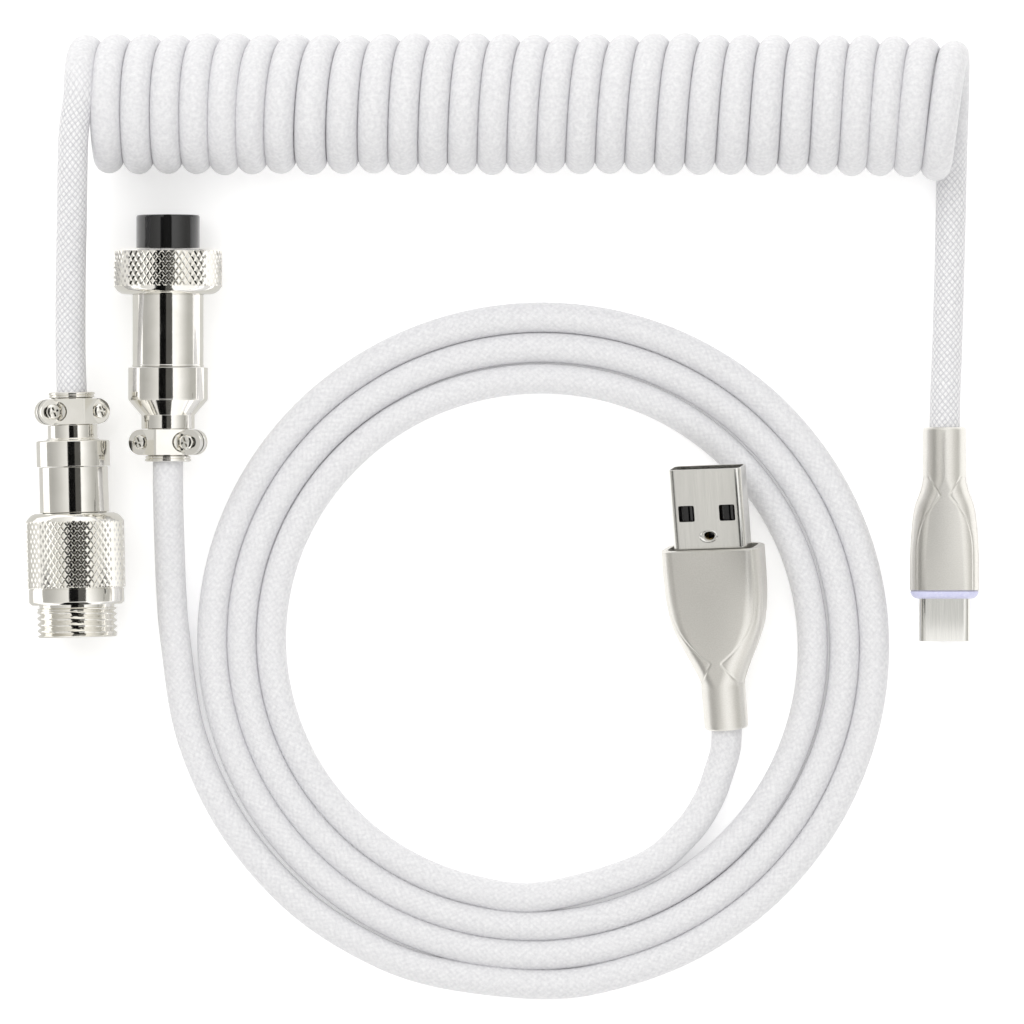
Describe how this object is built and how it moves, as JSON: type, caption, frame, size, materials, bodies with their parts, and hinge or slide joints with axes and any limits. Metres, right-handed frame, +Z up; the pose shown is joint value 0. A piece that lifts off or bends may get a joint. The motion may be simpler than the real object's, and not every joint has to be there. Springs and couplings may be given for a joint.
{
  "type": "coiled keyboard cable",
  "caption": "White braided USB cable for a keyboard that parts at a threaded metal connector: a curly winding with a USB-C plug, and a flat-coiled cord with a USB-A plug.",
  "frame": {"origin": "on the table, below the middle of the box round the four connectors as they lie", "axes": "+Z up from the table; +X along the curly winding towards its USB-C end; +Y from the flat coil towards the winding"},
  "size_m": [0.1522, 0.1531, 0.0223],
  "materials": {
    "nickel_plated_brass": "bright nickel plate on turned brass",
    "nickel_plated_steel": "bright nickel plate on drawn steel",
    "satin_plated_zinc": "satin pearl-nickel plate on die-cast zinc",
    "gold_plated_contact": "gold flash",
    "black_insulator": "glossy moulding",
    "inner_mould": "moulded",
    "translucent_bezel": "translucent lavender moulding",
    "circuit_board": "solder mask",
    "rubber_bush": "matt",
    "cable_core": "extruded jacket",
    "braided_sleeve": "fine white braid"
  },
  "bodies": {
    "coil_half": {"coil_lead_receptacle": "braided_sleeve", "coil_lead_usb_c": "braided_sleeve", "coil_winding": "braided_sleeve", "receptacle_backshell": "nickel_plated_brass", "receptacle_barrel": "nickel_plated_brass", "receptacle_body": "nickel_plated_brass", "receptacle_bush": "rubber_bush", "receptacle_cable_core": "cable_core", "receptacle_insert": "black_insulator", "receptacle_pin_1": "gold_plated_contact", "receptacle_pin_2": "gold_plated_contact", "receptacle_pin_3": "gold_plated_contact", "receptacle_pin_4": "gold_plated_contact", "receptacle_retaining_ring": "nickel_plated_brass", "receptacle_saddle_lower": "nickel_plated_brass", "receptacle_saddle_upper": "nickel_plated_brass", "receptacle_screw_left": "nickel_plated_brass", "receptacle_screw_right": "nickel_plated_brass", "usb_c_bezel_ring": "translucent_bezel", "usb_c_board": "circuit_board", "usb_c_cable_core": "cable_core", "usb_c_contacts_lower": "gold_plated_contact", "usb_c_contacts_upper": "gold_plated_contact", "usb_c_housing": "satin_plated_zinc", "usb_c_inner_mould": "inner_mould", "usb_c_insulator": "black_insulator", "usb_c_shell": "nickel_plated_steel"},
    "host_half": {"host_lead": "braided_sleeve", "host_ring": "braided_sleeve", "host_tail": "braided_sleeve", "plug_backshell": "nickel_plated_brass", "plug_barrel": "nickel_plated_brass", "plug_bush": "rubber_bush", "plug_cable_core": "cable_core", "plug_insert": "black_insulator", "plug_saddle_lower": "nickel_plated_brass", "plug_saddle_upper": "nickel_plated_brass", "plug_screw_left": "nickel_plated_brass", "plug_screw_right": "nickel_plated_brass", "plug_snap_ring": "nickel_plated_steel", "plug_socket_1": "gold_plated_contact", "plug_socket_2": "gold_plated_contact", "plug_socket_3": "gold_plated_contact", "plug_socket_4": "gold_plated_contact", "usb_a_cable_core": "cable_core", "usb_a_contact_1": "gold_plated_contact", "usb_a_contact_2": "gold_plated_contact", "usb_a_contact_3": "gold_plated_contact", "usb_a_contact_4": "gold_plated_contact", "usb_a_housing": "satin_plated_zinc", "usb_a_inner_mould": "inner_mould", "usb_a_retainer": "black_insulator", "usb_a_shell": "nickel_plated_steel", "usb_a_tongue": "black_insulator"},
    "coupling_nut": {"coupling_nut": "nickel_plated_brass"}
  },
  "joints": [
    {"name": "host_half_lift", "type": "slide", "parent": "coil_half", "child": "host_half", "axis": [0, 0, 1], "range_m": [0, 0.08]},
    {"name": "coupling_nut_turn", "type": "hinge", "parent": "host_half", "child": "coupling_nut", "pos_m": [-0.05336, 0.03253, 0.00865], "axis": [0, 1, 0], "continuous": true}
  ]
}
